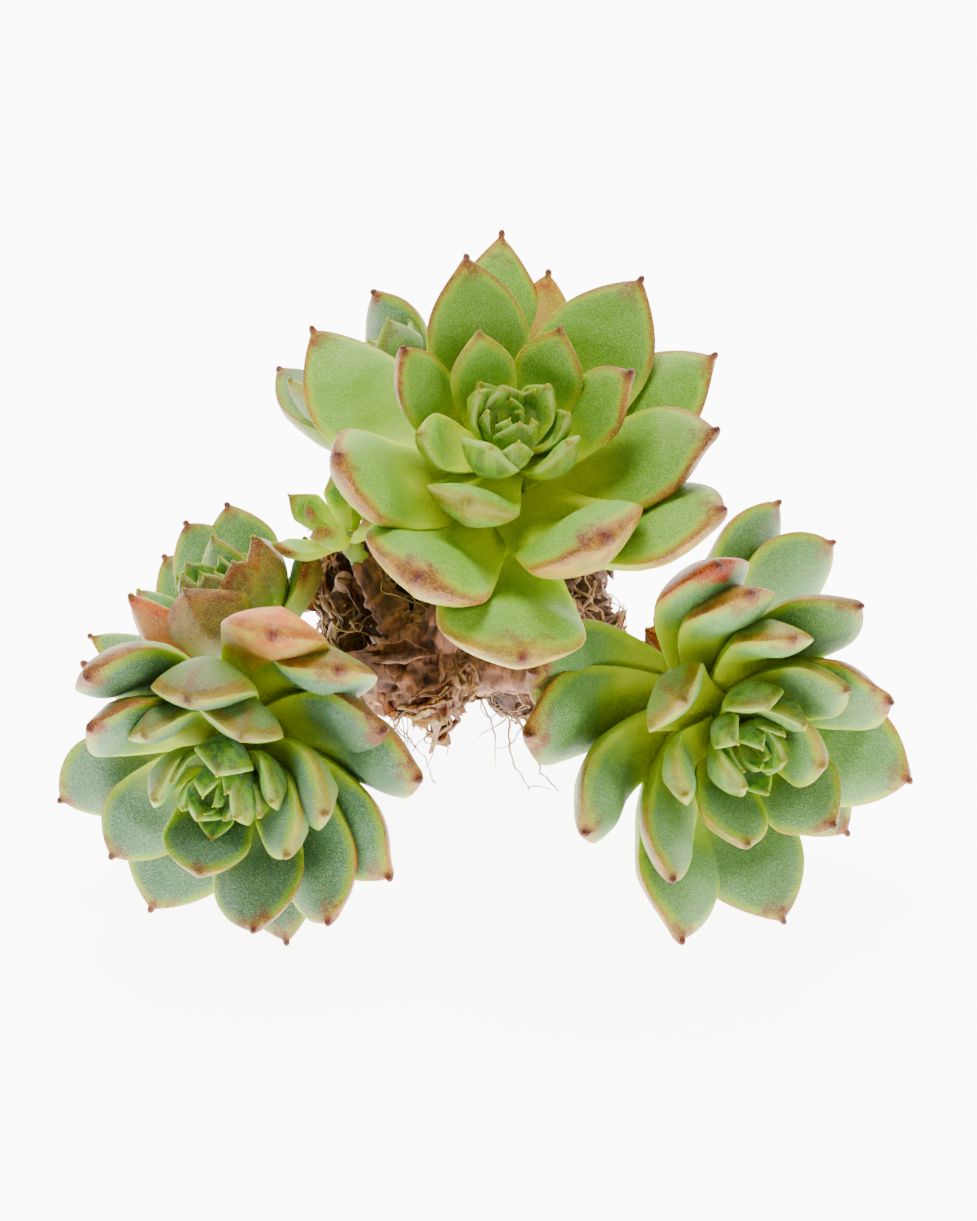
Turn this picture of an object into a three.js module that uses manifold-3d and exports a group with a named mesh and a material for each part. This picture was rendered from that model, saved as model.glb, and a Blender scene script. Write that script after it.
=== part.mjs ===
// A bare-rooted clump of rosette succulents: five leaf heads on short woody stems
// that meet in one crown, with a small offset and a dried root mass under it.
// Millimetres, +Z up, the front towards -Y. It lies on its lowest leaves and its roots.
import * as THREE from 'three';
import { mergeVertices } from 'three/addons/utils/BufferGeometryUtils.js';
import Module from 'manifold-3d';

const wasm = await Module();
wasm.setup();
const { Manifold, Mesh } = wasm;

// sizes, in mm
const SHOOT_RADIUS = 2.8; // the green shoot that carries a head's leaves
const SHOOT_BELOW = 12.5; // how far the shoot runs below the head's middle
const SHOOT_ABOVE = 4; // and above it
const CLEARANCE = 0.3; // between a leaf and whatever it lies against
const BARK_CLEARANCE = 0.5; // the same for the rougher stems
const LEAF_THICKNESS = 6.4; // of a leaf FULL_WIDTH wide
const FULL_WIDTH = 15;
const OLDEST_DROP = 8; // height on the shoot that leaf length is counted down from
const YOUNG_LENGTH = 23; // leaves shorter than this stay one piece with the shoot
const STEM_RADIUS = 3.1; // the woody stems
const CROWN_RADIUS = 6.5; // the woody knot where they meet
const CROWN = new THREE.Vector3(-1, 46, 33);
const ROOT_MIDDLE = new THREE.Vector3(-3, 56, 19); // of the soil and root lump
const ROOT_RADII = new THREE.Vector3(21, 17, 21.5);
const ROOT_THICKNESS = 1.5; // half the thickness of a thick root where it leaves the lump
const ROOT_COUNT = 9;
const GROUND = -3; // height of the surface that leaves and roots lie on

// Each head: its middle, the way it faces, how many degrees a leaf bends up along its
// length, the side where leaves bend more and by how much, and its leaves from the oldest
// to the youngest. A leaf has its turn about the head (0 towards +X), its lean away from
// the head's axis, its length and its width.
const HEADS = {
  top: {
    middle: [2.6, 22, 67.1],
    faces: [0.1, -0.42, 0.9],
    bend: 34,
    bow: [0, -24, -6],
    leaves: [
      [92, 62, 37.5, 15.5], [135, 85, 36.5, 16.5], [55, 54, 35, 16.5], [30, 63, 34, 15.5],
      [338, 60, 33, 16.5], [80, 70, 32.5, 11], [108, 40, 32.5, 14.5], [359, 52, 31, 16],
      [275, 77, 28, 20], [198, 56, 28, 16], [242, 62, 26, 18.5], [302, 45, 26, 17.5],
      [154, 41, 23.5, 10.5], [19, 36, 23, 11], [64, 32, 20.5, 10.5], [116, 30, 19.5, 10.5],
      [244, 60, 14, 12], [193, 53, 13.5, 8], [326, 34, 12, 7], [37, 18, 12, 6],
      [156, 20, 10.5, 6], [115, 12, 10, 6], [241, 32, 8, 8.5], [286, 10, 7.5, 5],
    ],
  },
  left: {
    middle: [-36.1, 12, 26.2],
    faces: [-0.2, -0.98, -0.14],
    bend: 40,
    bow: [5, 0, 42],
    leaves: [
      [289, 60, 30, 14], [316, 47, 30, 14.5], [247, 65, 29, 16], [296, 32, 29, 14],
      [337, 56, 29, 14], [220, 96, 28.5, 13], [7, 68, 28, 14], [208, 80, 27.5, 15],
      [135, 54, 26, 13.5], [72, 66, 25, 15], [49, 68, 24, 14.5], [23, 67, 24, 13],
      [226, 66, 23.5, 13], [146, 43, 23, 13], [97, 50, 21, 13.5], [269, 17, 20, 12],
      [7, 46, 20, 11.5], [341, 32, 19, 10.5], [126, 44, 17, 9.5], [68, 47, 16, 12],
      [159, 21, 14, 9], [16, 38, 12, 8], [8, 15, 11, 7], [75, 28, 10, 6], [230, 8, 8, 5],
    ],
  },
  right: {
    middle: [33.5, 19, 27.2],
    faces: [0.43, -0.9, 0.02],
    bend: 36,
    bow: [-36, 0, 24],
    leaves: [
      [243, 49, 34, 16], [279, 54, 32.5, 16], [43, 120, 31, 13], [339, 50, 30, 16.5],
      [30, 109, 30, 14], [171, 73, 29, 14], [311, 72, 29, 14], [53, 55, 28, 13],
      [98, 63, 28, 14], [157, 84, 28, 13.5], [199, 59, 27.5, 14], [224, 46, 26.5, 12],
      [92, 53, 26, 13], [22, 37, 26, 13], [310, 31, 22, 12], [78, 48, 22, 11],
      [42, 37, 21, 11], [247, 28, 19.5, 11], [136, 53, 18, 11.5], [356, 18, 17, 10],
      [190, 42, 15, 9], [47, 24, 13, 7.5], [90, 34, 12, 8], [202, 15, 12, 8], [4, 8, 10, 6],
    ],
  },
  back: {
    middle: [-36.4, 44, 26.2],
    faces: [-0.45, 0.1, 0.87],
    bend: 38,
    bow: [0, 0, 0],
    leaves: [
      [217, 48, 26.5, 12], [151, 63, 26.5, 9], [73, 38, 23, 12], [97, 37, 23, 12],
      [115, 51, 22.5, 12], [224, 26, 21, 11.5], [269, 31, 19, 14], [341, 29, 18, 11],
      [358, 52, 18, 10.5], [311, 30, 17, 11.5], [180, 28, 15, 8], [70, 22, 14, 8],
      [234, 10, 12, 6], [288, 19, 12, 6], [120, 14, 11, 6],
    ],
  },
  rear: {
    middle: [-12, 60, 55],
    faces: [-0.5, 0.45, 0.74],
    bend: 36,
    bow: [0, 0, 0],
    leaves: [
      [146, 33, 24, 15], [42, 17, 23, 13], [84, 56, 23, 13], [330, 58, 19, 12],
      [20, 60, 20, 12], [250, 52, 17, 11], [200, 40, 17, 10], [110, 40, 17, 9],
      [300, 30, 13, 8], [60, 30, 13, 8], [170, 20, 11, 7], [260, 15, 9, 6], [30, 10, 8, 5],
    ],
  },
};
const OFFSET = {
  middle: [-19, 44, 40.5],
  faces: [-0.45, -0.1, 0.88],
  bend: 30,
  bow: [0, 0, 0],
  leaves: [
    [200, 50, 9, 5.5], [330, 46, 9, 5.5], [80, 44, 9.5, 5.5], [140, 32, 9, 5],
    [265, 30, 8.5, 5], [20, 22, 8, 4.5], [200, 10, 7, 4],
  ],
};

// A closed solid from rings of points that all have as many, with flat or pointed ends.
function loft(rings, tip) {
  const sides = rings[0].length;
  const points = rings.flat();
  const faces = [];
  for (let i = 0; i + 1 < rings.length; i++)
    for (let k = 0; k < sides; k++) {
      const a = i * sides + k;
      const b = i * sides + ((k + 1) % sides);
      faces.push(a, b, b + sides, a, b + sides, a + sides);
    }
  for (let k = 1; k + 1 < sides; k++) faces.push(0, k + 1, k);
  const last = (rings.length - 1) * sides;
  if (tip) {
    points.push(tip);
    for (let k = 0; k < sides; k++) faces.push(last + k, last + ((k + 1) % sides), points.length - 1);
  } else for (let k = 1; k + 1 < sides; k++) faces.push(last, last + k, last + k + 1);
  const geometry = new THREE.BufferGeometry().setFromPoints(points);
  geometry.setIndex(faces);
  return geometry;
}

function solid(geometry) {
  const made = new Manifold(
    new Mesh({
      numProp: 3,
      vertProperties: Float32Array.from(geometry.getAttribute('position').array),
      triVerts: Uint32Array.from(geometry.index.array),
    }),
  );
  return made;
}

// The same surface with its faces sharing their corner points.
function joined(geometry) {
  const bare = new THREE.BufferGeometry();
  bare.setAttribute('position', geometry.getAttribute('position'));
  return mergeVertices(bare, 1e-4);
}

function headAxes(head) {
  const axis = new THREE.Vector3(...head.faces).normalize();
  const east = new THREE.Vector3(1, 0, 0);
  east.addScaledVector(axis, -east.dot(axis)).normalize();
  return { axis, east, north: new THREE.Vector3().crossVectors(axis, east) };
}

// The leaf's half width along it, as a share of its greatest: a broad foot, widest
// past the middle, then a blunt end with a short point.
const OUTLINE = new THREE.SplineCurve(
  [[0, 0.58], [0.24, 0.7], [0.46, 0.9], [0.66, 1], [0.83, 0.82], [0.93, 0.46], [1, 0.06]]
    .map(([x, y]) => new THREE.Vector2(x, y)),
);
const STATIONS = [0, 0.24, 0.46, 0.67, 0.83, 0.93];
const YOUNG_STATIONS = [0, 0.4, 0.68, 0.9];
const BEND_STEPS = 20;
const BEND_POWER = 1.6;

function outline(along) {
  const points = OUTLINE.getPoints(60);
  const next = points.findIndex((p) => p.x >= along);
  if (next < 1) return points[0].y;
  const [p, q] = [points[next - 1], points[next]];
  return p.y + ((q.y - p.y) * (along - p.x)) / (q.x - p.x);
}

// A leaf's middle line, which bends more and more towards its tip. At any share of the
// line it gives how far along and above the straight way to the tip the line runs there,
// both as shares of the leaf's length, and its slope.
function bentLine(bend) {
  const turn = (t) => bend * t ** BEND_POWER;
  const line = [new THREE.Vector2(0, 0)];
  for (let i = 0; i < BEND_STEPS; i++) {
    const slope = turn((i + 0.5) / BEND_STEPS);
    line.push(new THREE.Vector2(Math.cos(slope), Math.sin(slope)).add(line[i]));
  }
  const end = line[BEND_STEPS].clone();
  const tilt = end.angle();
  for (const point of line) point.rotateAround(new THREE.Vector2(), -tilt).divideScalar(end.length());
  return (t) => {
    const step = Math.min(Math.floor(t * BEND_STEPS), BEND_STEPS - 1);
    const point = line[step].clone().lerp(line[step + 1], t * BEND_STEPS - step);
    return { run: point.x, rise: point.y, slope: turn(t) - tilt };
  };
}

// One leaf. grow makes it bigger all round, for the room its neighbours leave it.
function leafGeometry(head, [turn, lean, length, width], grow = 0) {
  const { axis, east, north } = headAxes(head);
  const [a, b] = [THREE.MathUtils.degToRad(turn), THREE.MathUtils.degToRad(lean)];
  const out = east.clone().multiplyScalar(Math.cos(a)).addScaledVector(north, Math.sin(a));
  const along = out.clone().multiplyScalar(Math.sin(b)).addScaledVector(axis, Math.cos(b));
  const up = axis.clone().addScaledVector(along, -axis.dot(along)).normalize();
  const side = new THREE.Vector3().crossVectors(up, along);
  const young = length < YOUNG_LENGTH;
  // a young leaf grows out of the shoot, an old one starts just off its skin
  const away = young ? SHOOT_RADIUS - 1.2 : SHOOT_RADIUS + CLEARANCE;
  const foot = new THREE.Vector3(...head.middle)
    .addScaledVector(axis, OLDEST_DROP - length / 2)
    .addScaledVector(out, away * Math.min(1, lean / 30));
  const bowed = Math.max(0, out.dot(new THREE.Vector3(...head.bow)));
  const middleLine = bentLine(THREE.MathUtils.degToRad(head.bend + bowed));
  const rings = [];
  const at = (t) => {
    const { run, rise, slope } = middleLine(t);
    const point = foot.clone().addScaledVector(along, length * run).addScaledVector(up, length * rise);
    const normal = up.clone().multiplyScalar(Math.cos(slope)).addScaledVector(along, -Math.sin(slope));
    const ahead = along.clone().multiplyScalar(Math.cos(slope)).addScaledVector(up, Math.sin(slope));
    return { point, normal, ahead };
  };
  const deep = (LEAF_THICKNESS * width) / FULL_WIDTH;
  for (const t of young ? YOUNG_STATIONS : STATIONS) {
    const { point, normal, ahead } = at(t);
    const half = (width / 2) * outline(t) + grow;
    const swell = 0.55 + 0.45 * Math.sin(Math.min(t / 0.75, 1) * 1.9);
    const thick = deep * swell * Math.min(1, (1 - t) / 0.3) ** 0.6;
    const above = thick * (0.1 + 0.3 * THREE.MathUtils.smoothstep(t, 0.35, 0.82)) + grow;
    const below = thick * 0.8 + grow;
    const section = young
      ? [[1, 0], [0, above], [-1, 0], [-0.55, -0.7 * below], [0, -below], [0.55, -0.7 * below]]
      : [[1, 0], [0.55, 0.85 * above], [0, above], [-0.55, 0.85 * above], [-1, 0],
        [-0.66, -0.62 * below], [0, -below], [0.66, -0.62 * below]];
    const start = t === 0 ? -grow : 0;
    rings.push(section.map(([x, y]) => point.clone()
      .addScaledVector(ahead, start)
      .addScaledVector(side, x * half)
      .addScaledVector(normal, y)));
  }
  const end = at(1);
  return loft(rings, end.point.addScaledVector(end.ahead, grow));
}

// A round bar along a smooth line, thick at one end and thinner at the other.
function bar(points, startRadius, endRadius, sides, steps, grow = 0) {
  const line = new THREE.CatmullRomCurve3(points);
  const frames = line.computeFrenetFrames(steps);
  const rings = [];
  for (let i = 0; i <= steps; i++) {
    const radius = THREE.MathUtils.lerp(startRadius, endRadius, i / steps) + grow;
    const ring = [];
    for (let k = 0; k < sides; k++) {
      const angle = (2 * Math.PI * k) / sides;
      ring.push(line.getPointAt(i / steps)
        .addScaledVector(frames.normals[i], radius * Math.cos(angle))
        .addScaledVector(frames.binormals[i], radius * Math.sin(angle)));
    }
    rings.push(ring);
  }
  return loft(rings);
}

function onAxis(head, height) {
  return new THREE.Vector3(...head.middle).addScaledVector(headAxes(head).axis, height);
}

// The middle of a head: the shoot and the young leaves that still sit on it.
function heart(head, grow = 0) {
  const ends = [onAxis(head, -SHOOT_BELOW - grow), onAxis(head, SHOOT_ABOVE + grow)];
  let made = solid(bar(ends, SHOOT_RADIUS, SHOOT_RADIUS - 0.6, 10, 1, grow));
  for (const leaf of head.leaves)
    if (leaf[2] < YOUNG_LENGTH) made = made.add(solid(leafGeometry(head, leaf, grow)));
  return made;
}

// The woody stems and the knot they grow from.
function woodyCrown(grow = 0) {
  const knot = new THREE.IcosahedronGeometry(CROWN_RADIUS + grow, 1);
  knot.translate(CROWN.x, CROWN.y, CROWN.z);
  let made = solid(joined(knot));
  for (const head of [...Object.values(HEADS), OFFSET]) {
    const end = onAxis(head, -(head === OFFSET ? 3 : SHOOT_BELOW) - CLEARANCE + grow);
    const before = onAxis(head, -SHOOT_BELOW - 5);
    const line = head === OFFSET ? [CROWN, end] : [CROWN, before, end];
    const thin = head === OFFSET ? 1.4 : STEM_RADIUS - 0.5;
    made = made.add(solid(bar(line, STEM_RADIUS + 0.6, thin, 8, head === OFFSET ? 2 : 4, grow)));
  }
  return made;
}

// The dried lump of soil and matted roots, flat where it lies, with thick roots.
function rootMass() {
  const lump = new THREE.IcosahedronGeometry(1, 4);
  const position = lump.getAttribute('position');
  for (let i = 0; i < position.count; i++) {
    const p = new THREE.Vector3().fromBufferAttribute(position, i);
    const rough = 1 + 0.09 * Math.sin(5 * p.x + 2 * p.z) * Math.cos(4 * p.y - p.z)
      + 0.05 * Math.sin(9 * p.y + 7 * p.z + 3 * p.x);
    p.multiplyScalar(rough).multiply(ROOT_RADII).add(ROOT_MIDDLE);
    p.z = Math.max(p.z, GROUND);
    position.setXYZ(i, p.x, p.y, p.z);
  }
  let made = solid(joined(lump));
  for (let i = 0; i < ROOT_COUNT; i++) {
    const turn = (2 * Math.PI * (i + 0.3 * Math.sin(3 * i))) / ROOT_COUNT;
    const along = [[0.62, 0.05], [0.98, -0.3], [1.1, -0.62], [0.98 + 0.1 * Math.cos(5 * i), -0.86]];
    const line = along.map(([out, height], k) => new THREE.Vector3(
      out * Math.cos(turn + 0.12 * k * Math.sin(i)), out * Math.sin(turn + 0.12 * k * Math.sin(i)), height,
    ).multiply(ROOT_RADII).add(ROOT_MIDDLE));
    for (const p of line) p.z = Math.max(p.z, GROUND + ROOT_THICKNESS);
    made = made.add(solid(bar(line, ROOT_THICKNESS, ROOT_THICKNESS * 0.4, 6, 5)));
  }
  return made;
}

// The largest single piece of what is left, without the slivers and threads of a cut.
function largest(shape) {
  let rest = shape;
  for (let i = 0; i < 3; i++) {
    rest = rest.simplify(0.07).decompose().sort((p, q) => q.volume() - p.volume())[0];
    rest = solid(mergeVertices(geometryOf(rest), 0.01));
  }
  return rest.decompose().sort((p, q) => q.volume() - p.volume())[0];
}

function geometryOf(shape) {
  const { vertProperties, triVerts, numProp } = shape.getMesh();
  const points = [];
  for (let i = 0; i < vertProperties.length; i += numProp)
    points.push(new THREE.Vector3(...vertProperties.subarray(i, i + 3)));
  const geometry = new THREE.BufferGeometry().setFromPoints(points);
  geometry.setIndex([...triVerts]);
  return geometry;
}

const LEAF_GREEN = '#9db56b';
const HEART_GREEN = '#86b07a';
const BARK = '#7a5a3c';
const ROOT_BROWN = '#6b4a30';

const placed = []; // what is already there, each with the room it takes
const group = new THREE.Group();

function place(name, shape, room, colour) {
  let rest = shape;
  for (const other of placed) {
    const [p, q] = [rest.boundingBox(), other.box];
    const apart = [0, 1, 2].some((k) => p.min[k] > q.max[k] || q.min[k] > p.max[k]);
    if (!apart) rest = rest.subtract(other.room);
  }
  rest = largest(rest);
  placed.push({ room, box: room.boundingBox() });
  const geometry = geometryOf(rest);
  geometry.computeVertexNormals();
  const material = new THREE.MeshStandardMaterial({ color: colour, roughness: 0.6, metalness: 0 });
  const mesh = new THREE.Mesh(geometry, material);
  mesh.name = name;
  group.add(mesh);
}

for (const [name, head] of Object.entries(HEADS))
  place(`${name}_heart`, heart(head), heart(head, CLEARANCE), HEART_GREEN);
place('offset', heart(OFFSET), heart(OFFSET, CLEARANCE), HEART_GREEN);
place('woody_crown', woodyCrown(), woodyCrown(BARK_CLEARANCE), BARK);
for (const [name, head] of Object.entries(HEADS)) {
  const old = head.leaves.filter((leaf) => leaf[2] >= YOUNG_LENGTH);
  for (let i = old.length - 1; i >= 0; i--) {
    const shape = solid(leafGeometry(head, old[i]));
    const room = solid(leafGeometry(head, old[i], CLEARANCE));
    place(`${name}_leaf_${String(i + 1).padStart(2, '0')}`, shape, room, LEAF_GREEN);
  }
}
place('root_mass', rootMass(), rootMass(), ROOT_BROWN);

// the part's origin: under the middle of the clump, on the surface it lies on
const box = new THREE.Box3().setFromObject(group);
group.position.set(-(box.min.x + box.max.x) / 2, -(box.min.y + box.max.y) / 2, -box.min.z);
group.updateMatrixWorld(true);

export default group;
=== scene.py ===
import math
import random

import bmesh
import bpy
import numpy as np
from mathutils import Matrix, Vector, noise
from mathutils.bvhtree import BVHTree


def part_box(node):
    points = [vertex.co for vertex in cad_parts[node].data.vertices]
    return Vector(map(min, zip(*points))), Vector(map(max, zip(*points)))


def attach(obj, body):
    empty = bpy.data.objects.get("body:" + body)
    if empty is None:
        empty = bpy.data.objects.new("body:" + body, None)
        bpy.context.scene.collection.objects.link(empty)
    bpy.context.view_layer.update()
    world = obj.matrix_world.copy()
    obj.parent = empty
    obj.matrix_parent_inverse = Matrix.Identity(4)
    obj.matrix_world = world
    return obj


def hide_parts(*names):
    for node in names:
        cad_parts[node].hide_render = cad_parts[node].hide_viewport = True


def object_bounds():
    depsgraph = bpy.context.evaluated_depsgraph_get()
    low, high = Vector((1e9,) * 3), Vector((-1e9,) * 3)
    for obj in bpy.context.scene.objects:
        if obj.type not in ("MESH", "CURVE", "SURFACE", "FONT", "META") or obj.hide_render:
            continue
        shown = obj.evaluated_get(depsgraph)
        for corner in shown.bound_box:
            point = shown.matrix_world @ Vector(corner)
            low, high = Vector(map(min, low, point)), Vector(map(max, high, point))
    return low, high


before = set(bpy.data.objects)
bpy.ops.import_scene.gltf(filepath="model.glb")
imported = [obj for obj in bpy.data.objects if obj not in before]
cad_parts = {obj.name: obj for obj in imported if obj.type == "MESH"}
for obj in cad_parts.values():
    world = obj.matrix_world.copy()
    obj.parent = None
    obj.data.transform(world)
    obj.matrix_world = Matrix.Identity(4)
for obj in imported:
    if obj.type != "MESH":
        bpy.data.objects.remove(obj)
cad_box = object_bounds()

# Where the clump lies: a white sweep of card under and behind it, soft light from a
# large panel right above, one behind and a weak one in front, and a dim room around,
# seen by a long lens from a little above. All sizes are in metres.
lowest, highest = Vector(cad_box[0]), Vector(cad_box[1])
centre = (lowest + highest) / 2
aim = centre + Vector((0.0007, -0.019, 0))
LOOK_DOWN = math.radians(30)
LOOK_FROM = 0.55
towards_lens = Vector((0, -math.cos(LOOK_DOWN), math.sin(LOOK_DOWN)))
camera_data = bpy.data.cameras.new("long_lens")
camera_data.lens = 117.6
camera_data.sensor_width = 36
camera_data.clip_end = 10
camera = bpy.data.objects.new("camera", camera_data)
camera.location = aim + LOOK_FROM * towards_lens
camera.rotation_euler = towards_lens.to_track_quat("Z", "Y").to_euler()
bpy.context.collection.objects.link(camera)
bpy.context.scene.camera = camera

world = bpy.data.worlds.new("bright_room")
world.use_nodes = True
world.node_tree.nodes["Background"].inputs["Color"].default_value = (0.96, 0.98, 1, 1)
world.node_tree.nodes["Background"].inputs["Strength"].default_value = 0.42
bpy.context.scene.world = world


def panel_light(name, place, size, power, colour):
    data = bpy.data.lights.new(name, "AREA")
    data.shape = "DISK"
    data.size = size
    data.energy = power
    data.color = colour
    panel = bpy.data.objects.new(name, data)
    panel.location = place
    panel.rotation_euler = (Vector(place) - centre).to_track_quat("Z", "Y").to_euler()
    bpy.context.collection.objects.link(panel)


panel_light("top_panel", (-0.12, 0.04, 0.85), 0.4, 12.5, (1, 0.99, 0.96))
panel_light("front_panel", (0.45, -0.5, 0.42), 0.5, 2.5, (0.95, 0.98, 1))
panel_light("back_panel", (0.1, 0.6, 0.6), 0.6, 9, (1, 1, 1))


def plain_mesh(name, points, faces):
    """An object with smooth shading, made straight from points and faces."""
    mesh = bpy.data.meshes.new(name)
    mesh.from_pydata([tuple(p) for p in points], [], faces)
    mesh.update()
    mesh.polygons.foreach_set("use_smooth", [True] * len(mesh.polygons))
    piece = bpy.data.objects.new(name, mesh)
    bpy.context.collection.objects.link(piece)
    return piece


def sweep_of_card(reach=1.6, rise=0.9, bend=0.35, steps=12):
    """Card that lies flat, then bends up behind the clump and stands to its rise."""
    profile = [(-reach, 0), (reach * 0.5, 0)]
    for i in range(1, steps + 1):
        turn = math.pi / 2 * i / steps
        profile.append((reach * 0.5 + bend * math.sin(turn), bend * (1 - math.cos(turn))))
    profile.append((reach * 0.5 + bend, rise))
    points = [Vector((x, y, z)) for x in (-reach, reach) for y, z in profile]
    count = len(profile)
    faces = [(i, i + count, i + count + 1, i + 1) for i in range(count - 1)]
    return plain_mesh("card", points, faces)


def node_material(name):
    material = bpy.data.materials.new(name)
    material.use_nodes = True
    return material, material.node_tree, material.node_tree.nodes["Principled BSDF"]


def colour_of(red, green, blue):
    """A screen colour, 0 to 255 each, as the shader counts light."""
    return tuple(((c / 255) / 12.92 if c < 11 else ((c / 255 + 0.055) / 1.055) ** 2.4)
                 for c in (red, green, blue)) + (1,)


class Nodes:
    """Short ways to add and join a material's nodes."""

    def __init__(self, tree):
        self.tree = tree

    def new(self, kind, **settings):
        node = self.tree.nodes.new(kind)
        for key, value in settings.items():
            setattr(node, key, value)
        return node

    def feed(self, socket, value):
        if hasattr(value, "is_output"):
            self.tree.links.new(value, socket)
        else:
            socket.default_value = value

    def mark(self, name):
        """A value stored on each point of the mesh."""
        return self.new("ShaderNodeAttribute", attribute_name=name).outputs["Fac"]

    def maths(self, operation, a, b=0.0):
        node = self.new("ShaderNodeMath", operation=operation)
        self.feed(node.inputs[0], a)
        self.feed(node.inputs[1], b)
        return node.outputs[0]

    def plus(self, a, b):
        return self.maths("ADD", a, b)

    def minus(self, a, b):
        return self.maths("SUBTRACT", a, b)

    def swing(self, pattern, size):
        """A pattern that goes from 0 to 1, made to go half of size either side of 0."""
        return self.times(self.minus(pattern, 0.5), size)

    def times(self, *values):
        product = values[0]
        for value in values[1:]:
            product = self.maths("MULTIPLY", product, value)
        return product

    def span(self, value, low, high):
        """0 up to low, 1 from high on, and a smooth step between them."""
        node = self.new("ShaderNodeMapRange", interpolation_type="SMOOTHSTEP")
        for socket, given in zip(node.inputs, (value, low, high)):
            self.feed(socket, given)
        return node.outputs[0]

    def mix(self, share, a, b):
        node = self.new("ShaderNodeMix", data_type="RGBA")
        self.feed(node.inputs["Factor"], share)
        self.feed(node.inputs[6], a)
        self.feed(node.inputs[7], b)
        return node.outputs[2]

    def noise(self, scale, detail=3.0, rough=0.5, where=None):
        node = self.new("ShaderNodeTexNoise")
        node.inputs["Scale"].default_value = scale
        node.inputs["Detail"].default_value = detail
        node.inputs["Roughness"].default_value = rough
        self.feed(node.inputs["Vector"], where or self.place())
        return node.outputs["Fac"]

    def cells(self, scale):
        node = self.new("ShaderNodeTexVoronoi")
        node.inputs["Scale"].default_value = scale
        self.feed(node.inputs["Vector"], self.place())
        return node.outputs["Distance"]

    def place(self):
        return self.new("ShaderNodeTexCoord").outputs["Object"]

    def stretched(self, scale):
        """Places to read a pattern at, so that it is drawn out along an axis."""
        node = self.new("ShaderNodeMapping")
        node.inputs["Scale"].default_value = scale
        self.feed(node.inputs["Vector"], self.place())
        return node.outputs["Vector"]

    def bump(self, height, strength, distance, under=None):
        node = self.new("ShaderNodeBump")
        node.inputs["Strength"].default_value = strength
        node.inputs["Distance"].default_value = distance
        self.feed(node.inputs["Height"], height)
        if under is not None:
            self.feed(node.inputs["Normal"], under)
        return node.outputs["Normal"]


# How far behind the origin the glow is centred, between which distances it fades in,
# and between which distances it fades in from the front edge of the card.
GLOW_MIDDLE = 0.12
GLOW_FADES = (0.75, 0.4)
GLOW_FRONT = (-0.24, -0.13)


def glowing_card():
    """White card, lit from behind where the clump lies and dimmer further away."""
    skin, tree, shader = node_material("card_white")
    n = Nodes(tree)
    split = n.new("ShaderNodeSeparateXYZ")
    n.feed(split.inputs["Vector"], n.place())
    x, y = split.outputs["X"], n.minus(split.outputs["Y"], GLOW_MIDDLE)
    away = n.maths("SQRT", n.plus(n.times(x, x), n.times(y, y)))
    glow = n.times(n.span(away, *GLOW_FADES), n.span(split.outputs["Y"], *GLOW_FRONT))
    shader.inputs["Base Color"].default_value = colour_of(252, 252, 252)
    shader.inputs["Roughness"].default_value = 0.9
    shader.inputs["Emission Color"].default_value = (1, 1, 1, 1)
    n.feed(shader.inputs["Emission Strength"], n.plus(0.4, n.times(glow, 7.5)))
    return skin


card = sweep_of_card()
card.data.materials.append(glowing_card())

# The old leaves: plump, tongue-shaped leaves full of water, each growing from the
# shoot by a broad foot, widest past the middle, bent up towards the tip and ending
# bluntly in a short hard point. Each follows the tip and width of its solid.
SHOOT_RADIUS = 0.0028
SHOOT_BELOW = 0.0125
SKIN_GAP = 0.0003
FOOT_INSIDE = 0.0008
OLDEST_DROP = 0.008
THICK_FOR_WIDTH = 6.4 / 15
KNOB_RADIUS = 0.0005
YOUTH_ENDS = 0.024
LEAF_STATIONS, LEAF_SIDES = 52, 40
# Rings of a leaf crowd towards its tip by this power.
CROWDING = 1.35
END_SLICE = 2e-4
# Dents are (how close together, how deep).
LEAF_DENTS = ((170, 0.00045), (600, 0.00008))
# faces is the way a head looks, bend is how many degrees its leaves bend up along
# their length, and bow adds to that on the side it points to, where the leaves are
# also the plumpest. lime is how yellow the green is, blunt is the range of how
# rounded the leaves end, and blush is how much redder they are than usual.
HEADS = {
    "top": {"faces": (0.1, -0.42, 0.9), "bend": 34, "bow": (0, -24, -6),
            "lime": 1.0, "blunt": (0.1, 0.55)},
    "left": {"faces": (-0.2, -0.98, -0.14), "bend": 40, "bow": (5, 0, 42),
             "lime": 0.2, "blunt": (0.55, 0.95)},
    "right": {"faces": (0.43, -0.9, 0.02), "bend": 36, "bow": (-36, 0, 24),
              "lime": 0.45, "blunt": (0.5, 0.95)},
    "back": {"faces": (-0.45, 0.1, 0.87), "bend": 38, "bow": (0, 0, 0),
             "lime": 0.5, "blunt": (0.3, 0.7), "blush": 0.5},
    "rear": {"faces": (-0.5, 0.45, 0.74), "bend": 36, "bow": (0, 0, 0),
             "lime": 0.4, "blunt": (0.4, 0.8)},
}


def node_points(node):
    """The corners of a solid, one row each."""
    return np.array([v.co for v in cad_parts[node].data.vertices], float).reshape(-1, 3)


def set_axes(head, node):
    """The head's own directions, and its middle, from the lower end of its shoot."""
    axis = Vector(head["faces"]).normalized()
    east = Vector((1, 0, 0))
    east = (east - axis * east.dot(axis)).normalized()
    points = node_points(node)
    heights = points @ np.array(axis)
    end = Vector(points[heights < heights.min() + END_SLICE].mean(0))
    head.update(axis=axis, east=east, north=axis.cross(east), middle=end + SHOOT_BELOW * axis)


for head_name, head in HEADS.items():
    set_axes(head, head_name + "_heart")


def ease(value, low, high):
    """0 up to low, 1 from high on, and a smooth step between them."""
    s = min(1, max(0, (value - low) / (high - low)))
    return s * s * (3 - 2 * s)


def lumps(at, sizes, shift=Vector()):
    """Uneven ground of several sizes of lump, each (how close together, how high)."""
    return sum(noise.noise(at * close + shift) * high for close, high in sizes)


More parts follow.
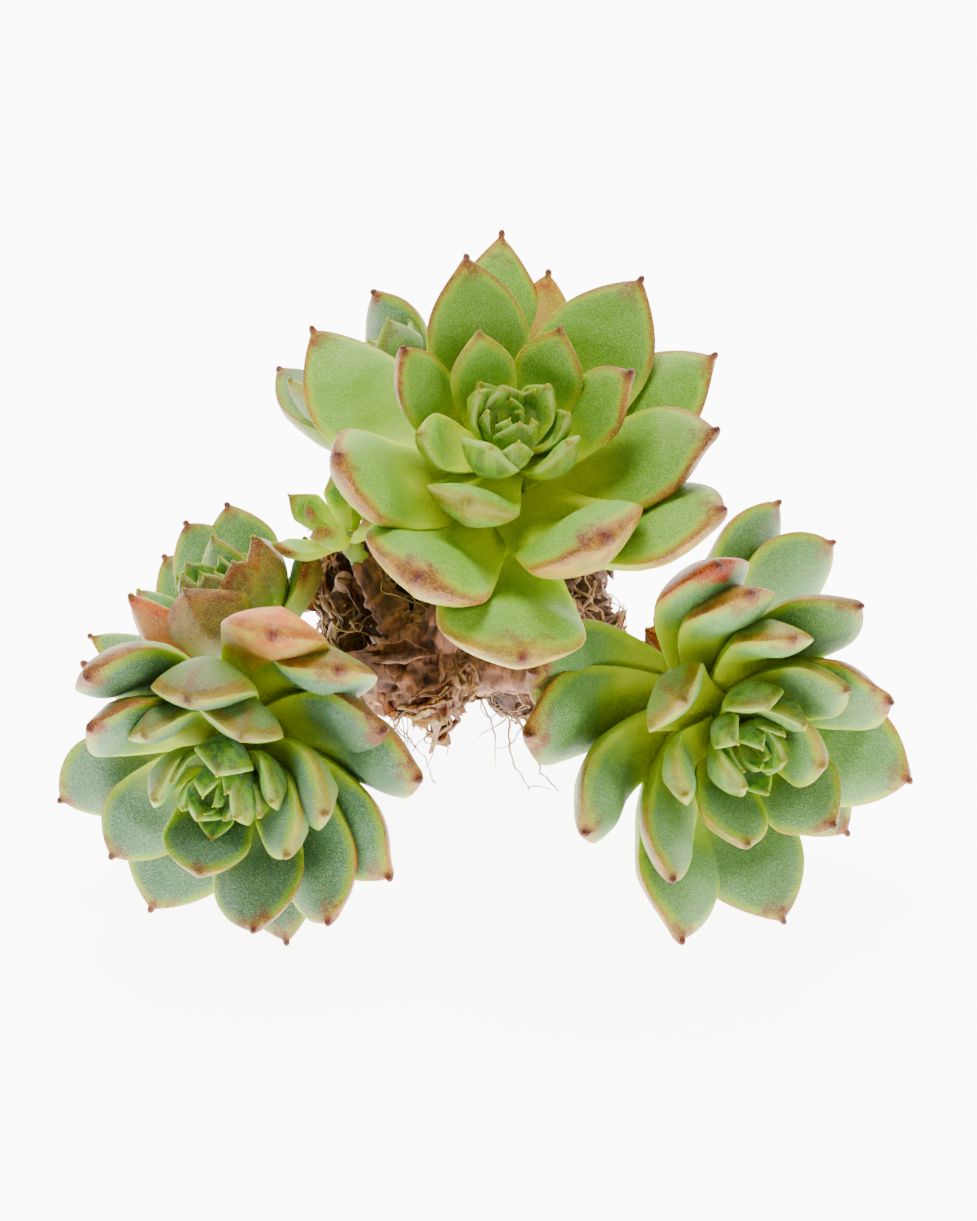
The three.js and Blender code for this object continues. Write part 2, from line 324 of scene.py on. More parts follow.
def half_width(t, sharp, blunt):
    """Half a leaf's width at t along it, 1 at the widest.

    sharp draws out its point, and blunt fills out its shoulders.
    """
    widest = 0.53 + 0.14 * blunt
    body = 0.58 + 0.42 * ease(t, 0, widest)
    if t > widest:
        narrowing = ((t - widest) / (0.975 - widest)) ** (1.8 + 0.5 * blunt)
        body = max(0, 1 - narrowing) ** (1 - 0.4 * blunt)
    point_from = 0.87 - 0.17 * sharp
    point = (0.26 + 0.34 * sharp) * (max(0, 1 - t) / (1 - point_from)) ** (1 + 0.6 * sharp)
    point *= ease(t, 0.45, point_from)
    return max(0.008, (body**3 + point**3) ** (1 / 3))


def knob_radius(t, length):
    """The hard bead that a leaf ends in."""
    return KNOB_RADIUS * min(1, length / 0.022) * math.sqrt(max(0, 1 - ((t - 0.982) / 0.018) ** 2))


BEND_STEPS = 40


def bent_line(bend):
    """How far along and up a bent leaf's middle runs, and its slope, in shares of its length."""
    turns = [bend * ((i + 0.5) / BEND_STEPS) ** 1.6 for i in range(BEND_STEPS)]
    xs = np.concatenate([[0], np.cumsum(np.cos(turns))])
    ys = np.concatenate([[0], np.cumsum(np.sin(turns))])
    tilt, reach = math.atan2(ys[-1], xs[-1]), math.hypot(xs[-1], ys[-1])
    along = (xs * math.cos(tilt) + ys * math.sin(tilt)) / reach
    rise = (ys * math.cos(tilt) - xs * math.sin(tilt)) / reach
    slopes = [bend * (i / BEND_STEPS) ** 1.6 - tilt for i in range(BEND_STEPS + 1)]
    return along, rise, slopes


def leaf_grid(head, out, lean, length, width, seed, twist=0, flat=0):
    """Rings of points round one leaf, with where each point is on the leaf.

    twist turns its end about its own length, and flat takes some bend away, in degrees.
    """
    chance = random.Random(seed)
    axis = head["axis"]
    along = (out * math.sin(lean) + axis * math.cos(lean)).normalized()
    up = (axis - along * axis.dot(along)).normalized()
    side = up.cross(along)
    youth = max(0, 1 - length / YOUTH_ENDS)
    roll = Matrix.Rotation(math.radians(chance.uniform(-8, 8)), 3, along)
    up, side = roll @ up, roll @ side
    away = (SHOOT_RADIUS - FOOT_INSIDE) * min(1, lean / math.radians(30))
    foot = head["middle"] + axis * (OLDEST_DROP - length / 2) + out * away
    bowed = max(0, out.dot(Vector(head["bow"])))
    bend = head["bend"] + bowed - flat + chance.uniform(-6, 6) + 14 * youth
    plump = 0.25 + 0.75 * min(1, bowed / 14) * (1 - min(1, flat / 20))
    runs, rises, slopes = bent_line(math.radians(bend))
    deep = THICK_FOR_WIDTH * width
    # what makes this leaf differ from the next one
    sway = chance.uniform(-0.03, 0.03) * length
    cup = chance.uniform(0.05, 0.16) * (1 + 2 * youth)
    blunt = max(plump * 1.1 - 0.1, chance.uniform(*head["blunt"])) * (1 - min(1, 1.2 * youth))
    lopsided = chance.uniform(-0.07, 0.07)
    hook = chance.uniform(-0.01, 0.045) * length
    sharp = min(1, 1.4 * youth + chance.uniform(0, 0.35))
    shift = Vector((seed * 3.7, seed * 1.3, seed * 7.1))
    points, where = [], []
    for i in range(LEAF_STATIONS + 1):
        t = 1 - (1 - i / LEAF_STATIONS) ** CROWDING
        run, rise, slope = (float(np.interp(t * BEND_STEPS, range(BEND_STEPS + 1), values))
                            for values in (runs, rises, slopes))
        middle = foot + along * length * run
        middle += up * length * rise
        normal = (up * math.cos(slope) - along * math.sin(slope)).normalized()
        middle += side * sway * math.sin(math.pi * t) - normal * hook * ease(t, 0.84, 1) ** 1.5
        ahead = (along * math.cos(slope) + up * math.sin(slope)).normalized()
        turned = Matrix.Rotation(math.radians(twist) * ease(t, 0.25, 0.9), 3, ahead)
        across, normal = turned @ side, turned @ normal
        # half its width here, and how far it stands above and below its middle line
        knob = knob_radius(t, length)
        half = max(knob, width / 2 * half_width(t, sharp, blunt))
        slant = half_width(t + 0.01, sharp, blunt) - half_width(t - 0.01, sharp, blunt)
        slant *= width / 2 / length / 0.02
        thick = deep * (0.6 + 0.4 * math.sin(min(t / 0.75, 1) * 1.9))
        thick *= max(0.002, min(1, (1 - t) / 0.28)) ** (0.7 - 0.15 * plump)
        swollen = 0.1 + (0.2 + 0.3 * plump) * ease(t, 0.35, 0.82)
        above = max(knob, thick * swollen * (1 - 0.5 * youth))
        below = max(knob, thick * (0.8 - 0.22 * plump * ease(t, 0.5, 0.85)))
        ridge = (0.5 + 0.3 * youth) * ease(t, 0.3, 0.8) * (1 - ease(t, 0.93, 0.96))
        for k in range(LEAF_SIDES):
            turn = 2 * math.pi * k / LEAF_SIDES
            x, rising = math.cos(turn), math.sin(turn)
            inside = abs(x)
            if rising >= 0:
                y = above * (1 - inside**2) ** 0.85
            else:
                full = (1 - inside**2.4) ** 0.66
                ridged = (1 - inside) ** 0.9
                y = -below * ((1 - ridge) * full + ridge * ridged)
            y += cup * half * x * x * (1 - 0.9 * ease(t, 0.5, 0.9)) * (1.2 - plump)
            wide = x * half * (1 + lopsided * x * math.sin(math.pi * t))
            point = middle + across * wide + normal * y
            dent = lumps(point, LEAF_DENTS, shift)
            point += normal * dent * math.sin(math.pi * min(t * 1.05, 1))
            points.append(point)
            from_rim = (1 - inside) * half * 1000 / math.hypot(1, slant)
            where.append((t, x, 1 if rising > 0.02 else (0 if rising < -0.02 else 0.5), from_rim))
    tip = middle
    return points, [(*place, (point - tip).length * 1000) for point, place in zip(points, where)]


def ring_faces(stations, sides, first=0):
    """Faces between rings of points, and one that closes each end."""
    faces = []
    for i in range(stations):
        for k in range(sides):
            a, b = first + i * sides + k, first + i * sides + (k + 1) % sides
            faces.append((a, b, b + sides, a + sides))
    faces.append(tuple(first + k for k in reversed(range(sides))))
    faces.append(tuple(first + stations * sides + k for k in range(sides)))
    return faces


def add_mark(piece, name, values):
    """Store one value for each point, for the material to read."""
    layer = piece.data.attributes.new(name, "FLOAT", "POINT")
    layer.data.foreach_set("value", np.ascontiguousarray(values, dtype=np.float32))


# What the skin knows of each point. from_rim and from_tip are in millimetres, across
# goes from -1 to 1, and the other marks go from 0 to 1 or a little over.
LEAF_MARKS = ("along", "across", "upper", "from_rim", "from_tip", "age", "blush", "lime", "own")


def leaf_mesh(name, leaves):
    """One object from leaf grids. Each leaf is (points, where, its own marks)."""
    points, faces, marks = [], [], []
    for grid, where, own_marks in leaves:
        faces += ring_faces(LEAF_STATIONS, LEAF_SIDES, len(points))
        points += grid
        marks += [place + own_marks for place in where]
    piece = plain_mesh(name, points, faces)
    for mark, values in zip(LEAF_MARKS, np.array(marks).T):
        add_mark(piece, mark, values)
    return piece


def leaf_from_tip(head, tip):
    """Which way a leaf goes and how long it is, from where its tip is.

    Its foot sits half its length down the shoot, so the length is the one for
    which length**2 = (rise + length / 2)**2 + across**2.
    """
    reach = tip - head["middle"]
    height = reach.dot(head["axis"])
    flat = reach - head["axis"] * height
    rise = height - OLDEST_DROP
    across = flat.length - SHOOT_RADIUS - SKIN_GAP
    length = (rise + math.sqrt(rise**2 + 3 * (rise**2 + across**2))) / 1.5
    lean = math.atan2(across, rise + length / 2)
    return flat.normalized(), lean, length


def leaf_skin(name):
    """Green flesh under a powdery bloom, lime at the foot with painted glow, red-brown at rim and tip."""
    skin, tree, shader = node_material(name)
    n = Nodes(tree)
    along, across, upper, from_rim, from_tip, age, blush, lime, own = map(n.mark, LEAF_MARKS)
    edge = n.maths("ABSOLUTE", across)
    under = n.minus(1.0, upper)
    young = n.minus(1.0, age)
    broad = n.noise(110, 3)
    patchy = n.noise(380, 5, 0.62)
    grain = n.noise(3800, 2, 0.6)
    ragged = n.span(patchy, 0.34, 0.6)
    wavy_rim = n.plus(from_rim, n.swing(patchy, 1.6))
    reach = n.plus(along, n.swing(broad, 0.4))

    # flesh: the lime foot, a paler green of its own made brighter with painted glow of light
    # through the flesh, a clear yellow-green band inside the rim, and a duller middle, which is bluer on
    # the cool heads
    foot = n.mix(lime, colour_of(150, 166, 0), colour_of(180, 196, 0))
    clear = n.mix(lime, colour_of(100, 134, 24), colour_of(144, 172, 12))
    cool_middle = n.mix(age, colour_of(48, 84, 74), colour_of(46, 80, 62))
    middle = n.mix(lime, cool_middle, colour_of(100, 144, 30))
    cool_back = n.mix(age, colour_of(64, 102, 70), colour_of(84, 112, 40))
    back = n.mix(lime, cool_back, colour_of(134, 162, 34))
    inner = n.times(n.span(wavy_rim, 0.3, 1.6), n.span(reach, 0.26, 0.66))
    body = n.mix(n.span(reach, 0.22, 0.7), foot, clear)
    body = n.mix(inner, body, n.mix(upper, back, middle))
    # powdery bloom, thicker towards the tip, rubbed away in patches, and pale specks
    wax = n.mix(lime, colour_of(112, 144, 136), colour_of(164, 194, 122))
    bloom = n.times(n.span(grain, 0.36, 0.7), n.span(reach, 0.35, 0.8), n.span(broad, 0.3, 0.6))
    bloom = n.times(bloom, n.span(wavy_rim, 0.3, 1.2), n.plus(0.34, n.times(young, 0.3)))
    body = n.mix(bloom, body, wax)
    specks = n.times(n.span(n.cells(3400), 0.34, 0.14), n.span(reach, 0.25, 0.6))
    specks = n.times(specks, n.span(patchy, 0.3, 0.5))
    body = n.mix(n.times(specks, 0.4), body, colour_of(190, 208, 150))
    # young leaves are waxy all over but for a clear window round the tip, with veins
    tip_window = n.span(n.plus(along, n.times(patchy, 0.3)), 0.72, 0.84)
    tip_window = n.times(tip_window, n.span(young, 0.35, 0.75))
    veins = n.span(n.noise(900, 2, 0.5, n.stretched((1, 1, 0.15))), 0.42, 0.58)
    body = n.mix(n.times(n.span(young, 0.3, 0.8), n.span(edge, 0.9, 0.5), 0.4), body, wax)
    window = n.mix(veins, colour_of(52, 100, 0), colour_of(100, 150, 0))
    body = n.mix(n.times(tip_window, 0.75), body, window)
    # a pale line along the rim
    border = n.times(n.span(from_rim, 0.5, 0.1), n.span(along, 0.15, 0.5))
    border = n.times(border, n.plus(0.5, n.times(young, 0.25)))
    body = n.mix(border, body, n.mix(age, colour_of(150, 190, 110), colour_of(150, 174, 70)))
    # rust where sun and wear reach: the rim, the keel and the end, with pale grains
    near_end = n.span(reach, 0.5, 0.8)
    narrower = n.plus(0.7, n.times(n.minus(1.0, lime), 0.5))
    band = n.plus(wavy_rim, n.times(upper, narrower))
    rim = n.times(n.span(band, 1.7, 0.8), near_end)
    keel = n.times(n.span(edge, 0.3, 0.04), under, n.span(along, 0.62, 0.9))
    ragged_end = n.plus(along, n.swing(patchy, 0.24))
    end = n.span(n.minus(ragged_end, n.times(upper, 0.025)), 0.85, 0.95)
    sunned = n.times(n.minus(blush, 0.6), 0.9)
    worn = n.plus(n.plus(reach, sunned), n.times(patchy, 0.2))
    wash = n.times(under, n.span(worn, 0.56, 0.96), 0.75)
    rust = n.maths("MAXIMUM", n.maths("MAXIMUM", rim, keel), n.maths("MAXIMUM", end, wash))
    rust = n.times(rust, n.plus(0.8, n.times(ragged, 0.2)))
    rust = n.times(rust, n.maths("MINIMUM", 1.0, n.times(blush, 2.0)))
    rust = n.times(rust, n.plus(0.75, n.times(n.span(grain, 0.62, 0.42), 0.25)))
    brown = n.mix(n.times(ragged, 0.8), colour_of(152, 62, 14), colour_of(92, 26, 12))
    crimson = n.mix(ragged, colour_of(186, 40, 24), colour_of(150, 8, 14))
    redder = n.times(n.span(blush, 0.8, 0.84), n.span(blush, 0.93, 0.88))
    body = n.mix(rust, body, n.mix(redder, brown, crimson))
    # a few leaves are flushed orange all over their backs
    flush = n.times(n.span(blush, 0.88, 1.0), n.span(reach, 0.25, 0.55))
    flush = n.times(flush, n.plus(0.5, n.times(under, 0.5)))
    orange = n.mix(ragged, colour_of(204, 146, 40), colour_of(198, 96, 30))
    body = n.mix(n.times(flush, n.minus(1.0, n.times(rim, 0.6)), 0.9), body, orange)
    grains = n.times(n.span(n.cells(2900), 0.26, 0.12), n.span(reach, 0.4, 0.7))
    grains = n.times(grains, n.span(patchy, 0.3, 0.5), 0.5)
    body = n.mix(grains, body, colour_of(206, 176, 116))
    # small dark pits
    pits = n.times(n.span(n.cells(1300), 0.13, 0.05), n.span(patchy, 0.48, 0.68))
    body = n.mix(n.times(pits, 0.45), body, colour_of(60, 60, 16))
    # the hard point, dark and corky, with a bruise round it on old leaves
    torn_tip = n.plus(from_tip, n.swing(patchy, 2.4))
    bruise = n.times(n.span(torn_tip, 1.9, 0.7), age, 0.75)
    body = n.mix(bruise, body, colour_of(84, 26, 12))
    corky = n.mix(n.span(grain, 0.4, 0.6), colour_of(34, 10, 6), colour_of(116, 50, 26))
    body = n.mix(n.span(from_tip, 0.95, 0.65), body, n.mix(age, colour_of(136, 140, 30), corky))
    shade = n.new("ShaderNodeHueSaturation")
    n.feed(shade.inputs["Color"], body)
    shade.inputs["Saturation"].default_value = 1.08
    light = n.plus(0.55, n.times(lime, 0.15))
    uneven = n.plus(n.times(own, 0.3), n.times(grain, 0.3))
    n.feed(shade.inputs["Value"], n.plus(light, uneven))
    n.feed(shader.inputs["Base Color"], shade.outputs["Color"])
    n.feed(shader.inputs["Roughness"], n.plus(0.38, n.times(grain, 0.3)))
    rough = n.bump(n.noise(300, 4), 0.35, 0.0007)
    n.feed(shader.inputs["Normal"], n.bump(grain, 0.8, 0.0002, rough))
    shader.inputs["Subsurface Weight"].default_value = 0.4
    shader.inputs["Subsurface Radius"].default_value = (0.7, 1.0, 0.1)
    shader.inputs["Subsurface Scale"].default_value = 0.003
    shader.inputs["Specular IOR Level"].default_value = 0.35
    return skin


leaf_material = leaf_skin("leaf_skin")
# Leaves that stand out: flushed orange (1) or crimson (0.86), turned about their own
# length, or less bent, in degrees.
BLUSHED = {"left_leaf_10": 1.0, "top_leaf_06": 1.0, "back_leaf_01": 1.0, "right_leaf_09": 0.86}
TWISTED = {"left_leaf_11": 38, "left_leaf_10": 14}
FLATTER = {"left_leaf_14": 34}
for number, node in enumerate(sorted(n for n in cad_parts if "_leaf_" in n)):
    head = HEADS[node.split("_")[0]]
    points = node_points(node)
    reach = np.linalg.norm(points - np.array(head["middle"]), axis=1)
    out, lean, length = leaf_from_tip(head, Vector(points[reach.argmax()]))
    along = out * math.sin(lean) + head["axis"] * math.cos(lean)
    offsets = (points - np.array(head["middle"])) @ np.array(head["axis"].cross(along).normalized())
    width = 2 * max(abs(offsets.min()), abs(offsets.max()))
    chance = random.Random(number)
    blush = BLUSHED.get(node, min(0.8, head.get("blush", 0) + chance.uniform(0.4, 0.75)))
    own_marks = (1, blush, head["lime"], chance.random())
    twist, flat = TWISTED.get(node, 0), FLATTER.get(node, 0)
    grid = leaf_grid(head, out, lean, length, width, number, twist, flat)
    piece = leaf_mesh("fleshy_" + node, [(*grid, own_marks)])
    piece.data.materials.append(leaf_material)
    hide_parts(node)
    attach(piece, "root")

# The heart of each head: the young leaves, smaller, bluer and more upright the
# nearer they are to the tip of the green shoot, and a tight bud of the newest ones.
# Each leaf is (turn round the head, lean from its middle line, length, width), in
# degrees and millimetres.
YOUNG = {
    "top": [
        (64, 32, 20.5, 10), (116, 30, 19, 9.4), (244, 60, 14, 12.5), (193, 53, 13.5, 8.5),
        (326, 34, 12, 8), (37, 18, 12, 7), (156, 20, 10.5, 7), (115, 12, 10, 7),
        (241, 32, 8, 8.5), (286, 10, 7.5, 6),
    ],
    "left": [
        (97, 50, 21, 14), (269, 17, 20, 12), (7, 46, 20, 12), (341, 32, 19, 11),
        (126, 44, 17, 10.5), (68, 47, 16, 12), (159, 21, 14, 9), (16, 38, 12, 8.5),
        (8, 15, 11, 8), (75, 28, 10, 8), (230, 8, 8, 6),
    ],
    "right": [
        (310, 31, 22, 12), (78, 48, 22, 11.5), (42, 37, 21, 11), (247, 28, 19.5, 11),
        (136, 53, 18, 11.5), (356, 18, 17, 11), (190, 42, 15, 9.5), (47, 24, 13, 9),
        (90, 34, 12, 8.5), (202, 15, 12, 8), (4, 8, 10, 7),
    ],
    "back": [
        (115, 51, 22.5, 12), (224, 26, 21, 11.5), (269, 31, 19, 14), (341, 29, 18, 11),
        (358, 52, 18, 10.5), (311, 30, 17, 11.5), (180, 28, 15, 8.5), (70, 22, 14, 8.5),
        (234, 10, 12, 7), (288, 19, 12, 7), (120, 14, 11, 7),
    ],
    "rear": [
        (330, 58, 19, 12), (20, 60, 20, 12), (250, 52, 17, 11), (200, 40, 17, 10),
        (110, 40, 17, 9), (300, 30, 13, 8), (60, 30, 13, 8), (170, 20, 11, 7),
        (260, 15, 9, 6), (30, 10, 8, 5),
    ],
    "offset": [
        (200, 50, 9, 5.5), (330, 46, 9, 5.5), (80, 44, 9.5, 5.5), (140, 32, 9, 5),
        (265, 30, 8.5, 5), (20, 22, 8, 4.5), (200, 10, 7, 4),
    ],
}
OLD_LENGTH = 23
GOLDEN_ANGLE = 137.5
BUD_LENGTH, BUD_WIDTH, BUD_LEAVES = 10, 5.6, 9
HEARTS_SEED, SEEDS_APART = 300, 40
HEADS["offset"] = {"faces": (-0.45, -0.1, 0.88), "bend": 30, "bow": (0, 0, 0),
                   "lime": 1, "blunt": (0, 0.4), "blush": 0.3, "age": 0.6}
set_axes(HEADS["offset"], "offset")


def bud():
    """The newest leaves, short and pointed, wound up in a spiral."""
    return [(GOLDEN_ANGLE * i % 360, 30 - 3.3 * i, BUD_LENGTH - 0.5 * i, BUD_WIDTH * (1 - 0.06 * i))
            for i in range(BUD_LEAVES)]


def young_leaves(head, rows, seed):
    """Grids of one head's young leaves. The shorter a leaf, the younger and greener."""
    leaves = []
    for i, (turn, lean, length, width) in enumerate(rows):
        around = math.radians(turn)
        out = head["east"] * math.cos(around) + head["north"] * math.sin(around)
        lean, length, width = math.radians(lean), length / 1000, width / 1000
        chance = random.Random(seed + i)
        age = max(head.get("age", 0), min(1, length * 1000 / OLD_LENGTH) ** 1.5)
        blush = age * (head.get("blush", 0) + chance.uniform(0.3, 0.6))
        own_marks = (age, blush, head["lime"], chance.random())
        leaves.append((*leaf_grid(head, out, lean, length, width, seed + i), own_marks))
    return leaves


def round_bar(line, radii, sides):
    """Points of a bar of changing thickness along a line."""
    points = []
    across = (line[1] - line[0]).orthogonal().normalized()
    for i, here in enumerate(line):
        ahead = (line[min(i + 1, len(line) - 1)] - line[max(i - 1, 0)]).normalized()
        across = (across - ahead * across.dot(ahead)).normalized()
        over = ahead.cross(across)
        for k in range(sides):
            turn = 2 * math.pi * k / sides
            points.append(here + (across * math.cos(turn) + over * math.sin(turn)) * radii[i])
    return points


def shoot_skin():
    """Smooth green skin, browning in small patches."""
    skin, tree, shader = node_material("green_shoot_skin")
    n = Nodes(tree)
    fine = n.noise(900, 4)
    green = n.mix(n.span(n.noise(250), 0.35, 0.65), colour_of(140, 160, 40), colour_of(96, 128, 30))
    n.feed(shader.inputs["Base Color"], n.mix(n.span(fine, 0.55, 0.75), green, colour_of(130, 96, 50)))
    n.feed(shader.inputs["Roughness"], n.plus(0.45, n.times(fine, 0.3)))
    n.feed(shader.inputs["Normal"], n.bump(fine, 0.4, 0.0003))
    return skin


green_shoot = shoot_skin()
SHOOT_RINGS, SHOOT_SIDES = 18, 16
SHOOT_ABOVE = 0.004
FULL_RINGS = 13
SPROUT_BELOW, SPROUT_RADIUS = 0.0025, 0.0014
for number, (head_name, rows) in enumerate(YOUNG.items()):
    head = HEADS[head_name]
    node = head_name if head_name == "offset" else head_name + "_heart"
    if head_name != "offset":
        rows = rows + bud()
    seed = HEARTS_SEED + SEEDS_APART * number
    hearts = leaf_mesh(node + "_leaves", young_leaves(head, rows, seed))
    hearts.data.materials.append(leaf_material)
    below, thick = SHOOT_BELOW, SHOOT_RADIUS
    if head_name == "offset":
        below, thick = SPROUT_BELOW, SPROUT_RADIUS
    heights = np.linspace(-below, SHOOT_ABOVE, SHOOT_RINGS)
    line = [head["middle"] + head["axis"] * height for height in heights]
    radii = [thick * (1 + 0.05 * math.sin(5 * i)) * (1 - 0.12 * max(0, i - FULL_RINGS))
             for i in range(SHOOT_RINGS)]
    shoot = plain_mesh(head_name + "_shoot", round_bar(line, radii, SHOOT_SIDES),
                       ring_faces(SHOOT_RINGS - 1, SHOOT_SIDES))
    shoot.data.materials.append(green_shoot)
    for piece in (hearts, shoot):
        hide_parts(node)
        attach(piece, "root")

# The woody stems: short, knotty brown stems that tie each head to one crown, ringed
# with the scars of shed leaves and cracked along their length.
CROWN_SHARE = Vector((0.4, 0.35, 0.35))
crown_low, crown_high = (Vector(p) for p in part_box("woody_crown"))
crown = Vector(l + (h - l) * s for l, h, s in zip(crown_low, crown_high, CROWN_SHARE))
STEM_RADIUS = 0.0031
STEM_FLARE, STEM_TAPER = 0.0006, 0.0003
SPROUT_STEM = 0.0016
STEM_RINGS, STEM_SIDES = 90, 32
INTO_SHOOT = 0.001
PULL_BELOW = 0.005
KNOT_RADIUS = 0.0066
BARK_LUMPS = ((420, 0.22), (1300, 0.1))
KNOT_LUMPS = ((2.2, 0.3), (6, 0.16), (17, 0.08))


def bezier(points, share):
    """A point on the smooth line that a few points pull on."""
    points = list(points)
    while len(points) > 1:
        points = [a.lerp(b, share) for a, b in zip(points, points[1:])]
    return points[0]


def woody_stem(line, thick, thin, seed):
    """One stem with its leaf scars, cracks and knots. Marks are how deep each point lies."""
    shift = Vector((seed * 5.1, seed * 2.3, seed * 9.7))
    count = len(line)
    radii = [thick + (thin - thick) * i / (count - 1) for i in range(count)]
    points, marks = [], []
    for i, point in enumerate(round_bar(line, radii, STEM_SIDES)):
        ring, turn = divmod(i, STEM_SIDES)
        middle, radius = line[ring], radii[ring]
        outward = (point - middle).normalized()
        angle = 2 * math.pi * turn / STEM_SIDES
        scar = Vector((ring * 0.17 + 0.5 * math.sin(angle + seed), math.sin(angle) * 0.7, seed * 3.7))
        swell = 0.3 * max(-0.2, noise.noise(scar))
        grain = Vector((math.cos(angle) * 2.4, math.sin(angle) * 2.4, ring * 0.05 + seed))
        crack = -abs(noise.noise(grain)) * 0.4
        depth = swell + crack + lumps(point, BARK_LUMPS, shift)
        points.append(middle + outward * radius * (1 + depth))
        marks.append(depth)
    return points, marks


def bark_skin():
    """Tan cork over dark cracks, paler and papery where old leaves came away."""
    skin, tree, shader = node_material("bark")
    n = Nodes(tree)
    depth = n.mark("depth")
    fibre = n.noise(1300, 5, 0.6, n.stretched((1, 1, 0.2)))
    base = n.mix(n.span(depth, -0.3, 0.16), colour_of(40, 20, 12), colour_of(140, 84, 50))
    base = n.mix(n.times(n.span(fibre, 0.42, 0.62), 0.8), base, colour_of(74, 38, 24))
    base = n.mix(n.times(n.span(n.noise(160, 3), 0.5, 0.7), 0.35), base, colour_of(176, 120, 84))
    n.feed(shader.inputs["Base Color"], base)
    n.feed(shader.inputs["Roughness"], n.plus(0.6, n.times(fibre, 0.3)))
    n.feed(shader.inputs["Normal"], n.bump(n.noise(2200, 4), 0.5, 0.0003, n.bump(fibre, 0.6, 0.0005)))
    return skin


bark = bark_skin()
points, faces, marks = [], [], []
for seed, (head_name, head) in enumerate(HEADS.items()):
    sprout = head_name == "offset"
    end = head["middle"] - head["axis"] * ((SPROUT_BELOW if sprout else SHOOT_BELOW) - INTO_SHOOT)
    pull = head["middle"] - head["axis"] * (SHOOT_BELOW + PULL_BELOW)
    through = [crown, end] if sprout else [crown, pull, end]
    line = [bezier(through, share) for share in np.linspace(0, 1, STEM_RINGS)]
    thin = SPROUT_STEM if sprout else STEM_RADIUS - STEM_TAPER
    stem, depths = woody_stem(line, STEM_RADIUS + STEM_FLARE, thin, seed)
    faces += ring_faces(STEM_RINGS - 1, STEM_SIDES, len(points))
    points += stem
    marks += depths
stems = plain_mesh("woody_stems", points, faces)
add_mark(stems, "depth", marks)


def rough_ball(name, middle, radii, fineness, roughness):
    """A lump of soil or cork. roughness gives how far in or out a point lies, in shares."""
    shape = bmesh.new()
    bmesh.ops.create_icosphere(shape, subdivisions=fineness, radius=1)
    depths = []
    for vert in shape.verts:
        direction = vert.co.normalized()
        depth = roughness(direction)
        depths.append(depth)
        vert.co = middle + Vector(d * r for d, r in zip(direction, radii)) * (1 + depth)
    mesh = bpy.data.meshes.new(name)
    shape.to_mesh(mesh)
    shape.free()
    mesh.polygons.foreach_set("use_smooth", [True] * len(mesh.polygons))
    piece = bpy.data.objects.new(name, mesh)
    bpy.context.collection.objects.link(piece)
    add_mark(piece, "depth", depths)
    return piece


def knotty(direction):
    """How far in or out the old wood lies this way."""
    crease = abs(noise.noise(direction * 4 + Vector((5, 1, 2))))
    return lumps(direction, KNOT_LUMPS) - 0.2 * crease


knot = rough_ball("woody_knot", crown, [KNOT_RADIUS] * 3, fineness=5, roughness=knotty)
for piece in (stems, knot):
    piece.data.materials.append(bark)
    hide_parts("woody_crown")
    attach(piece, "root")

# The root ball: a dried lump of dark soil bound by roots, hollowed where soil has
# fallen out, narrower below, standing on its lowest roots.
root_low, root_high = (Vector(p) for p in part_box("root_mass"))
lump_middle = (root_low + root_high) / 2 + Vector((-0.0005, -0.001, 0.003))
lump_radii = (root_high - root_low) / 2 * 0.88
# The way the lump hangs down in front, where a notch parts its lower ends, and the
# way to a deep hollow.
HANGING = Vector((0, -0.5, -0.866))
NOTCH_AT, NOTCH_WIDTH = 0.05, 0.3
CAVITY = Vector((-0.28, -0.85, 0.32)).normalized()
SOIL_CRUMBS = ((12, 0.07), (27, 0.06), (60, 0.03))
FLAT_BELOW = 0.0006


def crumbly(direction):
    """How far in or out the soil lies this way."""
    narrow = -0.3 * ease(-direction.z, 0.1, 1) * (1 + noise.noise(direction * 2.1 + Vector((3, 7, 1))))
    notch = -0.5 * ease(direction.dot(HANGING), 0.5, 0.85)
    notch *= 1 - ease(abs(direction.x - NOTCH_AT), 0, NOTCH_WIDTH)
    notch -= 0.45 * ease(direction.dot(CAVITY), 0.86, 0.96)
    hollow = -0.5 * ease(noise.noise(direction * 3.1 + Vector((9, 2, 4))), 0.12, 0.5)
    ridge = 0.2 * (0.5 - abs(noise.noise(direction * 4.3)))
    strands = 0.12 * noise.noise(Vector((direction.x * 14, direction.y * 14, direction.z * 3)))
    fine = lumps(direction, SOIL_CRUMBS)
    return narrow + notch + hollow + ridge + strands + fine - 0.06


soil = rough_ball("soil_ball", lump_middle, lump_radii, fineness=6, roughness=crumbly)
for vert in soil.data.vertices:
    vert.co.z = max(vert.co.z, lowest.z + FLAT_BELOW + 0.0005 * noise.noise(vert.co * 300))


def soil_skin():
    """Soil painted near black in the hollows as shade, dry brown fibre on the ridges, bits of pale grit.
    """
    skin, tree, shader = node_material("soil")
    n = Nodes(tree)
    depth = n.mark("depth")
    crumb = n.noise(1100, 6, 0.7)
    fibre = n.noise(420, 5, 0.6)
    # painted shade: near black where the soil lies deepest, brown on the rises
    base = n.mix(n.span(depth, -0.32, 0.05), colour_of(14, 8, 5), colour_of(96, 58, 34))
    base = n.mix(n.times(n.span(fibre, 0.5, 0.66), n.span(depth, -0.2, 0.1)), base, colour_of(150, 98, 60))
    base = n.mix(n.span(crumb, 0.6, 0.3), base, colour_of(48, 30, 20))
    grit = n.times(n.span(n.cells(520), 0.16, 0.1), n.span(fibre, 0.5, 0.6))
    base = n.mix(n.times(grit, 0.7), base, colour_of(222, 210, 192))
    n.feed(shader.inputs["Base Color"], base)
    n.feed(shader.inputs["Roughness"], n.plus(0.65, n.times(crumb, 0.3)))
    n.feed(shader.inputs["Normal"], n.bump(crumb, 0.9, 0.0008, n.bump(fibre, 0.8, 0.0012)))
    return skin


soil.data.materials.append(soil_skin())

